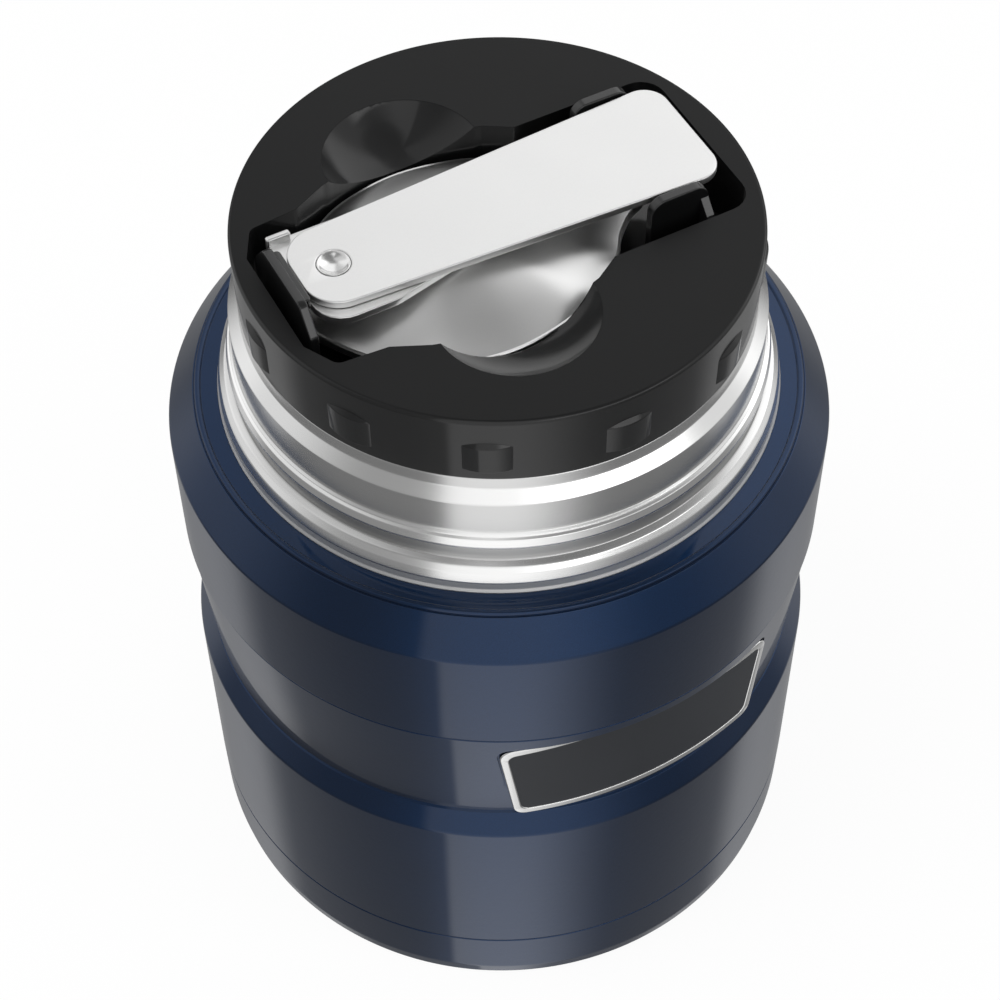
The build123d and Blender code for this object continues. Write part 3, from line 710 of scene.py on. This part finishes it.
class JAR_OT_steel_neck(bpy.types.Operator):
    """Make the bare neck: flare, bead, plain collar, bevel and lip."""

    bl_idname = "jar.steel_neck"
    bl_label = "Steel Neck"

    def execute(self, context):
        bead, low = RIM + 7.15, RIM - 0.9
        foot, neck_bead, collar, collar_bore, foot_bore = 39.56, 37.66, 36.7, 35.9, 38.76
        mouth = MOUTH_RADIUS + 0.02
        neck = turned("neck_shell", [
            (foot, low), (foot, RIM + 0.12, 0.08), (39.3, RIM + 0.55, 0.5), (39.3, RIM + 1.8, 0.8),
            (38.95, RIM + 3.2, 0.9), (38.3, RIM + 4.0, 0.6), (37.3, RIM + 4.45, 0.4), (37.1, bead - 0.3, 0.1),
            (neck_bead, bead - 0.1, 0.1), (neck_bead, bead + 0.3, 0.3), (37.4, bead + 1.35, 0.2),
            (36.95, bead + 1.55, 0.05), (37.12, bead + 1.85, 0.1), (collar, bead + 2.15, 0.2),
            (collar, LIP_TOP - 3.3, 0.15), (35.2, LIP_TOP - 1.8, 0.3), (35.0, LIP_TOP, 0.3),
            (mouth, LIP_TOP, 0.1), (mouth, LIP_TOP - 2.6), (collar_bore, LIP_TOP - 3.8),
            (collar_bore, bead - 1.2), (36.2, RIM + 4.4, 1.0), (foot_bore, RIM + 3.0, 1.2), (foot_bore, low),
        ], "neck_steel", dense=4.0)
        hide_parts("steel_neck")
        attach(neck, "jar")
        return {"FINISHED"}


class JAR_OT_food_vessel(bpy.types.Operator):
    """Make the spun food vessel and the raised thread inside its mouth."""

    bl_idname = "jar.food_vessel"
    bl_label = "Food Vessel"

    def execute(self, context):
        neck, bottom, belly, wall = LIP_TOP - 20.0, 8.0, 42.1, 0.6
        bore = MOUTH_RADIUS - wall
        vessel = turned("food_vessel", [
            (0, bottom), (belly, bottom, 6.6), (belly, neck - 6.4, 4.6), (MOUTH_RADIUS, neck + wall, 3.0),
            (MOUTH_RADIUS, LIP_TOP), (bore, LIP_TOP, 0.2), (bore, neck, 3.6), (belly - wall, neck - 7.0, 4.0),
            (belly - wall, bottom + wall, 6.0), (0, bottom + wall),
        ], "vessel_steel", dense=6.0)
        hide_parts("inner_vessel")
        thread = stopper_thread("mouth_thread", 33.42, 0.22, 1.6, 0.0, "vessel_steel")
        for piece in (vessel, thread):
            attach(piece, "jar")
        return {"FINISHED"}


# ---- stopper


def recess_plan():
    """Plan of the spoon recess, matching the stopper's floor and walls."""
    end, side, belly_foot = 31.3, 13.7, 16.0
    middle, centre, reach, first, sweep, parts = -5.8, -11.6, 30.0, 66.4, 47.2, 24
    turns = [math.radians(first + sweep * step / parts) for step in range(1, parts)]
    belly = [(middle + reach * math.cos(turn), centre + reach * math.sin(turn)) for turn in turns]
    left = [(-17.8, belly_foot), (-22.7, side), (-29.6, 13.2, 1.5), (-32.1, 8.6)]
    upper = [(9.9, side), (6.2, belly_foot), *belly, *left]
    lower = [(corner[0], -corner[1], *corner[2:]) for corner in reversed(upper)]
    return rounded_path([(end, -side, 3.5), (end, side, 3.5), *upper, *lower])


def ball(name, place, radius):
    """A fine cutter ball, with its place in its mesh."""
    build = bmesh.new()
    place = Matrix.Translation(Vector(place) * MM)
    bmesh.ops.create_icosphere(build, subdivisions=6, radius=radius * MM, matrix=place)
    mesh = bpy.data.meshes.new(name)
    build.to_mesh(mesh)
    build.free()
    return loose(name, mesh)


def grip_pads():
    """Twelve raised grips round the skirt, each with a drum's round face and a sloping top."""
    count, first, skirt, root = 12, math.radians(-2.45), 35.2, 34.4
    low, tall, slope, width, proud, lean, parts = SKIRT_LOW + 2.0, 4.7, 1.08, 6.8, 0.65, 0.1, 16
    rise = proud + skirt - math.sqrt(skirt ** 2 - (width / 2) ** 2)
    drum = ((width / 2) ** 2 + rise ** 2) / (2 * rise)
    vertices, faces = [], []
    for pad in range(count):
        turn = Matrix.Rotation(first + math.tau * pad / count, 3, "Z")
        start = len(vertices)
        for part in range(parts + 1):
            x = (part / parts - 0.5) * (width + 0.2)
            face = skirt + proud - drum + math.sqrt(drum ** 2 - x ** 2)
            top = low + tall
            for y, z in ((face - lean, low), (face, top), (root, top + slope * (face - root)), (root, low)):
                vertices.append(tuple(turn @ Vector((x, -y, z))))
        faces.append(tuple(range(start, start + 4)))
        faces.append(tuple(range(start + 4 * parts + 3, start + 4 * parts - 1, -1)))
        for part in range(parts):
            for side in range(4):
                here, after = start + 4 * part + side, start + 4 * part + (side + 1) % 4
                faces.append((here, here + 4, after + 4, after))
    return piece_from("grip_pads", vertices, faces, "lid_plastic")


class JAR_OT_stopper_lid(bpy.types.Operator):
    """Make the lid moulding: skirt with twelve grips, spoon recess and two dished finger scoops."""

    bl_idname = "jar.stopper_lid"
    bl_label = "Stopper Lid"

    def execute(self, context):
        cap = turned("lid_moulding", [
            (0, FLOOR), (33.0, FLOOR), (33.0, SKIRT_LOW), (35.15, SKIRT_LOW, 0.3), (35.35, LID_TOP, 0.6),
            (0, LID_TOP),
        ], "lid_plastic")
        recess = along_slot(plate("recess_cutter", [recess_plan()], FLOOR - 1, LID_TOP + 1))
        scoops = []
        for side in (1, -1):
            spot = Matrix.Rotation(SLOT_TURN, 3, "Z") @ Vector((-5.8, 15.9 * side, LID_TOP + 9.14))
            scoops.append(ball("scoop_cutter", spot, 14.3))
        moulding = cut(cap, [loose("recess_cutter", recess), *scoops], context.scene.food_jar.lid_edge)
        lid = joined("lid_moulding", [moulding, cut(grip_pads(), [], 0.12 * MM)], "lid_plastic", 40.0)
        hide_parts("stopper_top")
        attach(lid, "stopper")
        return {"FINISHED"}


def upright_panel(name, outline, thickness, place, turn, edge):
    """A plate drawn across and up, stood on the recess floor and turned about Z."""
    mesh = plate(name, [outline], -thickness / 2, thickness / 2, edge)
    upright = Matrix.Rotation(turn, 4, "Z") @ Matrix.Rotation(math.pi / 2, 4, "X")
    mesh.transform(Matrix.Translation(Vector(place) * MM) @ upright)
    return mesh


def joined(name, meshes, finish, sharp=32.0):
    """Several closed shells as one piece."""
    build = bmesh.new()
    for mesh in meshes:
        build.from_mesh(mesh)
    whole = bpy.data.meshes.new(name)
    build.to_mesh(whole)
    build.free()
    return dressed(name, whole, finish, sharp)


class JAR_OT_spoon_holders(bpy.types.Operator):
    """Make the sprung latch at the handle's left end and the two clips that grip its right end."""

    bl_idname = "jar.spoon_holders"
    bl_label = "Latch And Clips"

    def execute(self, context):
        half, crown, shoulder, top = 8.4, 5.4, 10.2, 14.0
        arch = rounded_path([
            (-half, 0), (half, 0), (half, shoulder, 1.0), (crown, top, 1.6), (-crown, top, 1.6),
            (-half, shoulder, 1.0),
        ])
        wall = upright_panel("latch_wall", arch, 1.2, (-30.4, 0, FLOOR), math.pi / 2, 0.2)
        lip_plan = rounded_path([(-30.5, -4.9), (-28.95, -4.9, 0.6), (-28.95, 4.9, 0.6), (-30.5, 4.9)])
        lip = plate("latch_lip", [lip_plan], FLOOR + 11.8, FLOOR + 13.6, 0.25)
        latch = joined("latch_arch", [along_slot(wall), along_slot(lip)], "tray_plastic")
        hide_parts("spoon_latch")
        start, end, tab_top, slot_wall = 16.9, 25.5, 13.4, 13.72
        tab_outline = rounded_path([(start, 0), (end, 0), (end, tab_top, 2.0), (start, tab_top, 2.0)])
        rib_outline = [(10.9, 0), (slot_wall, 0), (slot_wall, 8.4), (10.9, 11.4)]
        sides = []
        for side in (1, -1):
            tab = upright_panel("clip_tab", tab_outline, 1.4, (0, side * 10.375, FLOOR), 0, 0.2)
            outline = [(side * across, up) for across, up in rib_outline[::side]]
            rib = upright_panel("clip_rib", outline, 1.2, (end - 0.6, 0, FLOOR), math.pi / 2, 0.1)
            sides += [along_slot(tab), along_slot(rib)]
        clips = joined("clip_pair", sides, "tray_plastic")
        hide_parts("spoon_clips")
        for piece in (latch, clips):
            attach(piece, "stopper")
            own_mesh(piece)
        return {"FINISHED"}


class JAR_OT_plug(bpy.types.Operator):
    """Make the plug under the lid with its two-start thread, and the soft sealing ring near its foot."""

    bl_idname = "jar.plug"
    bl_label = "Plug And Seal"

    def execute(self, context):
        low, high, top = PLUG_LOW + 1.4, PLUG_LOW + 4.1, FLOOR - 1.25
        wall, groove = 32.0, 30.35
        plug = turned("plug_shell", [
            (0, PLUG_LOW), (31.0, PLUG_LOW, 0.8), (wall, PLUG_LOW + 0.7, 0.3), (wall, low, 0.15),
            (groove, low), (groove, high), (wall, high, 0.15), (wall, top), (0, top),
        ], "plug_plastic", dense=6.0)
        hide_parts("plug_body")
        thread = stopper_thread("plug_thread", wall - 0.02, 1.3, 1.9, math.pi / 2, "plug_plastic")
        ring_low, ring_high = PLUG_LOW + 1.65, PLUG_LOW + 3.85
        bore, edge, lip = 30.6, 32.55, 33.15
        seal = turned("seal_lips", [
            (bore, ring_low), (edge, ring_low, 0.2), (lip, ring_low + 0.45, 0.25),
            (32.6, ring_low + 1.1, 0.15), (lip, ring_high - 0.45, 0.25), (edge, ring_high, 0.2),
            (bore, ring_high),
        ], "silicone")
        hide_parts("stopper_seal")
        for piece in (plug, thread):
            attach(piece, "stopper")
        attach(seal, "seal_ring")
        return {"FINISHED"}


# ---- spoon


def closed_curve(points, parts=8):
    """A smooth closed curve through points, with parts spans to each."""
    spots = [np.array(point) for point in points]
    curve = []
    for index in range(len(spots)):
        first, second, third, fourth = (spots[(index + offset) % len(spots)] for offset in (-1, 0, 1, 2))
        for part in range(parts):
            t = part / parts
            curve.append(0.5 * (
                2 * second + (third - first) * t + (2 * first - 5 * second + 4 * third - fourth) * t ** 2
                + (3 * second - first - 3 * third + fourth) * t ** 3
            ))
    return curve


def bowl_rim():
    """Egg-shaped rim with a narrow nose."""
    upper = [
        (21.5, 0.0), (20.6, 2.3), (17.9, 3.7), (15.0, 6.3), (12.4, 9.7), (8.0, 12.7), (3.0, 15.9),
        (-5.8, BOWL_HALF_WIDTH), (-13.9, 16.5), (-19.5, 13.8), (-24.2, 9.3), (-27.7, 3.6), (-28.5, 0.0),
    ]
    return closed_curve(upper + [(u, -v) for u, v in reversed(upper[1:-1])])


def bowl_skin(rim, shrink, low, high, crown, rings=26, ledge=0.0):
    """Rows of points from the rim's foot, which may stand out as a ledge, up and in to the crown."""
    rise = crown - high
    cap = (BOWL_HALF_WIDTH ** 2 + rise ** 2) / (2 * rise)
    levels = [(low, shrink - ledge), (high - 0.15, shrink - ledge)]
    if ledge:
        levels += [(high - 0.02, shrink - ledge + 0.12), (high, shrink + 0.02)]
    levels += [(high + rise * math.sin(math.pi / 2 * step / rings), shrink) for step in range(rings)]
    rows = []
    for height, inset in levels:
        scale = 1.0 if height <= high else math.sqrt(cap ** 2 - (cap - crown + height) ** 2) / BOWL_HALF_WIDTH
        row = []
        for u, v in rim:
            du = u - BOWL_CROWN_U
            keep = scale * (math.hypot(du, v) - inset) / math.hypot(du, v)
            row.append((BOWL_CROWN_U + du * keep, v * keep, height))
        rows.append(row)
    return rows


class JAR_OT_spoon(bpy.types.Operator):
    """Make the spoon's dished bowl, its hinge plate with the stop ear, and the rivet."""

    bl_idname = "jar.spoon"
    bl_label = "Spoon"

    def execute(self, context):
        rim = bowl_rim()
        lip = 0.2
        outside = bowl_skin(rim, 0.0, BOWL_LOW + lip, BOWL_RIM, BOWL_CROWN, ledge=0.4)
        inside = bowl_skin(rim, BOWL_WALL, BOWL_LOW + lip, BOWL_RIM - 0.5, BOWL_CROWN - BOWL_WALL)
        foot_out = bowl_skin(rim, -lip, BOWL_LOW, BOWL_RIM, BOWL_CROWN)[0]
        foot_in = bowl_skin(rim, BOWL_WALL - lip, BOWL_LOW, BOWL_RIM, BOWL_CROWN)[0]
        rows = outside[::-1] + [foot_out, foot_in] + inside
        count, last = len(rim), len(rim) * len(rows) + 1
        vertices = [(BOWL_CROWN_U, 0, BOWL_CROWN), *sum(rows, []), (BOWL_CROWN_U, 0, BOWL_CROWN - BOWL_WALL)]
        faces = []
        for side in range(count):
            after = (side + 1) % count
            faces.append((0, 1 + side, 1 + after))
            for base in range(1, last - count, count):
                faces.append((base + side, base + count + side, base + count + after, base + after))
            faces.append((last - count + after, last - count + side, last))
        turn = Matrix.Rotation(SLOT_TURN, 3, "Z")
        vertices = [tuple(turn @ Vector(vertex)) for vertex in vertices]
        bowl = piece_from("spoon_dish", vertices, faces, "spoon_steel", 26.0)
        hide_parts("spoon_bowl")

        half, nose, bend, end = 8.4, -3.0, -18.5, -29.4
        outline = rounded_path([
            (nose, -5.0, 3.0), (nose, 5.0, 3.0), (bend, half, 6.0), (end, half, 0.4), (end, 5.8, 0.2),
            (end + 0.6, 5.3, 0.2), (end + 0.6, -half, 4.5), (bend, -half, 6.0),
        ])
        tongue = plate("tongue_plate", [outline, ring_outline(RIVET_U, 1.5)], BOWL_CROWN, TONGUE_TOP, 0.18)
        ear_plan = [(-29.45, 7.42, 0.3), (-26.1, 7.42, 0.3), (-26.1, half, 0.3), (-29.45, half, 0.3)]
        ear = plate("tongue_ear", [rounded_path(ear_plan)], BOWL_CROWN + 0.3, HANDLE_TOP, 0.3)
        hinge = joined("hinge_plate", [along_slot(tongue), along_slot(ear)], "spoon_steel")
        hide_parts("spoon_tongue")

        foot, shank, head, dish = 2.4, 1.5, 2.2, ((0, 2.05), (0.22, 1.8), (0.5, 1.3), (0.68, 0.7), (0.74, 0))
        rivet = turned("hinge_rivet", [
            (0, BOWL_CROWN - 0.8), (foot, BOWL_CROWN - 0.8, 0.3), (foot, BOWL_CROWN), (shank, BOWL_CROWN),
            (shank, HANDLE_LOW + 0.3), (head, HANDLE_TOP - 0.2), (head, HANDLE_TOP, 0.1),
            *((radius, HANDLE_TOP - depth) for depth, radius in dish),
        ], "rivet_steel", sharp=50.0)
        rivet.data.transform(Matrix.Rotation(SLOT_TURN, 4, "Z") @ Matrix.Translation((RIVET_U * MM, 0, 0)))
        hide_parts("spoon_rivet")
        for piece in (bowl, hinge, rivet):
            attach(piece, "spoon")
        return {"FINISHED"}


def ring_outline(u, radius, parts=48):
    return [
        (u + radius * math.cos(math.tau * part / parts), radius * math.sin(math.tau * part / parts))
        for part in range(parts)
    ]


class JAR_OT_spoon_handle(bpy.types.Operator):
    """Make the flat folding handle with rounded ends and its rivet hole."""

    bl_idname = "jar.spoon_handle"
    bl_label = "Spoon Handle"

    def execute(self, context):
        left, right, half, taper = -28.75, 29.2, 8.2, 0.05
        left_half, right_half = half + taper * left, half + taper * right
        right_end = [(right, -right_half, 3.5), (right, right_half, 3.5)]
        left_end = [(left, left_half, 5.0), (left, -left_half, 5.0)]
        outline = rounded_path(right_end + left_end, steps=12)
        mesh = plate("handle_plate", [outline, ring_outline(RIVET_U, 2.27)], HANDLE_LOW, HANDLE_TOP, 0.22)
        handle = dressed("handle_plate", along_slot(mesh), "handle_steel")
        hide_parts("spoon_handle")
        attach(handle, "handle")
        return {"FINISHED"}


# ---- carried-over solids


class JAR_OT_hidden_solids(bpy.types.Operator):
    """Give the solids that stay as they are their finishes: the tray and what lies inside the jar."""

    bl_idname = "jar.hidden_solids"
    bl_label = "Carried-Over Solids"

    def execute(self, context):
        for node, finish in {
            "spoon_tray": "tray_plastic", "plug_foam": "foam", "heat_foil": "bright_foil",
            "end_plate": "dull_steel", "vacuum_seal": "dull_steel", "getter": "dull_steel",
        }.items():
            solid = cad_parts[node]
            material = finish_named(finish)
            if solid.material_slots:
                for slot in solid.material_slots:
                    slot.material = material
            else:
                solid.data.materials.append(material)
        return {"FINISHED"}


# ---- stage


def soft_light(name, place, aim, width, length, power):
    """A rectangular area light that looks at a point and isn't itself reflected."""
    lamp = bpy.data.lights.new(name, "AREA")
    lamp.shape = "RECTANGLE"
    lamp.size, lamp.size_y = width, length
    lamp.energy = power
    made = loose(name, lamp)
    made.location = place
    made.visible_glossy = False
    made.rotation_euler = (Vector(aim) - Vector(place)).to_track_quat("-Z", "Y").to_euler()


class JAR_OT_stage(bpy.types.Operator):
    """Set the pale floor, the white surround, the soft lights and the camera."""

    bl_idname = "jar.stage"
    bl_label = "Stage"

    def execute(self, context):
        scene = context.scene
        self.floor()
        self.surround(scene)

        power = scene.food_jar.light_power
        soft_light("key_light", (-0.35, -0.15, 0.75), (0, 0, 0.08), 0.45, 0.45, power)
        soft_light("side_light", (0.65, -0.25, 0.45), (0, 0, 0.06), 0.30, 0.60, power * 0.6)

        camera = bpy.data.cameras.new("camera")
        camera.sensor_width = 36.0
        camera.lens = 85.0543
        camera.clip_start, camera.clip_end = 0.01, 20
        viewer = loose("camera", camera)
        viewer.location = (0, -0.2192966, 0.3449997)
        viewer.rotation_euler = Euler([math.radians(angle) for angle in (37.8651, 0.3152, -0.4092)])
        scene.camera = viewer
        scene.view_settings.view_transform = "Standard"
        return {"FINISHED"}

    def floor(self):
        """A pale card under the jar that keeps a faint shadow."""
        reach, whiteness = 3.0, 0.93
        mesh = bpy.data.meshes.new("stage_floor")
        corners = [(-reach, -reach, 0), (reach, -reach, 0), (reach, reach, 0), (-reach, reach, 0)]
        mesh.from_pydata(corners, [], [(0, 1, 2, 3)])
        floor = loose("stage_floor", mesh)
        paper = bpy.data.materials.new("floor_paper")
        board = ShaderBoard(paper)
        seen = board.node("ShaderNodeLightPath", output="Is Camera Ray")
        card = board.node("ShaderNodeBsdfDiffuse", None, {"Color": (0.86, 0.86, 0.86, 1)})
        glow = board.node("ShaderNodeEmission", None, {"Color": (1, 1, 1, 1)})
        mix = board.node("ShaderNodeMixShader", None, {0: seen * whiteness, 1: card, 2: glow})
        board.end("ShaderNodeOutputMaterial", mix)
        mesh.materials.append(paper)
        floor.visible_glossy = floor.visible_shadow = False

    def surround(self, scene):
        """White behind the object, and a pale studio with soft bright panels where it is reflected.

        The ray's direction is x, y and z; turn is its angle from the front in radians, to the right.
        """
        scene.world = bpy.data.worlds.new("surround")
        board = ShaderBoard(scene.world)
        seen = board.node("ShaderNodeLightPath", output="Is Camera Ray")
        x, y, z = board.parts_of(board.node("ShaderNodeTexCoord", output="Generated"))
        turn = board.maths("ARCTAN2", x, y * -1.0)
        away = board.maths("ABSOLUTE", turn)
        low = board.ease(z, -0.30, 0.05, 1.0, 0.0)
        front = board.window(turn, -0.44, -0.36, 0.10, 0.85)
        flank = board.window(away, 0.90, 1.50, 2.20, 2.80)
        sides = board.ease(away, 1.65, 2.02) * board.ease(away, 1.90, 2.60, 1.0, 0.30)
        strip = board.window(turn, 0.15, 0.40, 1.10, 1.45) * board.window(z, 0.36, 0.44, 0.56, 0.64)
        gap = board.ease(away, 2.05, 2.40) * board.window(z, -0.45, -0.20, 0.10, 0.30)
        back = board.ease(y, 0.1, 0.4) * board.window(z, 0.0, 0.25, 0.84, 0.93)
        back = back * board.ease(x, -0.22, -0.05, 0.4, 1.0)
        # a dark card hangs over the jar, and each panel's strength is a share of the white behind the object
        card = board.ease(x * 0.33 - y * 0.08 + z * 0.94, 0.89, 0.965, 1.0, 0.12)
        above = card * (0.08 - low * 0.06 + front * 0.66 + (1.0 - low) * flank * 0.38)
        below = low * (front * 0.095 + sides * 0.42)
        studio = (0.20 + above + below + back * 0.80 + strip * 1.8) * (1.0 - gap * 0.8)
        strength = seen + (1.0 - seen) * studio
        sky = board.node("ShaderNodeBackground", None, {"Color": (1, 1, 1, 1), "Strength": strength})
        board.end("ShaderNodeOutputWorld", sky)


class JAR_PT_panel(bpy.types.Panel):
    """Sizes, colours and makers of the food jar."""

    bl_idname = "JAR_PT_panel"
    bl_label = "Food Jar"
    bl_space_type = "VIEW_3D"
    bl_region_type = "UI"
    bl_category = "Food Jar"

    def draw(self, context):
        settings = context.scene.food_jar
        for name in JarSettings.__annotations__:
            self.layout.prop(settings, name)
        for operator in OPERATORS:
            self.layout.operator(operator.bl_idname)


OPERATORS = (
    JAR_OT_stage,
    JAR_OT_hidden_solids,
    JAR_OT_painted_body,
    JAR_OT_badge,
    JAR_OT_steel_neck,
    JAR_OT_food_vessel,
    JAR_OT_stopper_lid,
    JAR_OT_spoon_holders,
    JAR_OT_plug,
    JAR_OT_spoon,
    JAR_OT_spoon_handle,
)


def register():
    for group in (JarSettings, *OPERATORS, JAR_PT_panel):
        bpy.utils.register_class(group)
    bpy.types.Scene.food_jar = bpy.props.PointerProperty(type=JarSettings)


def unregister():
    del bpy.types.Scene.food_jar
    for group in (JAR_PT_panel, *reversed(OPERATORS), JarSettings):
        bpy.utils.unregister_class(group)


def main():
    register()
    for operator in OPERATORS:
        group, call = operator.bl_idname.split(".")
        result = getattr(getattr(bpy.ops, group), call)()
        if result != {"FINISHED"}:
            raise RuntimeError(f"{operator.bl_label} did not finish")


if __name__ == "__main__":
    main()
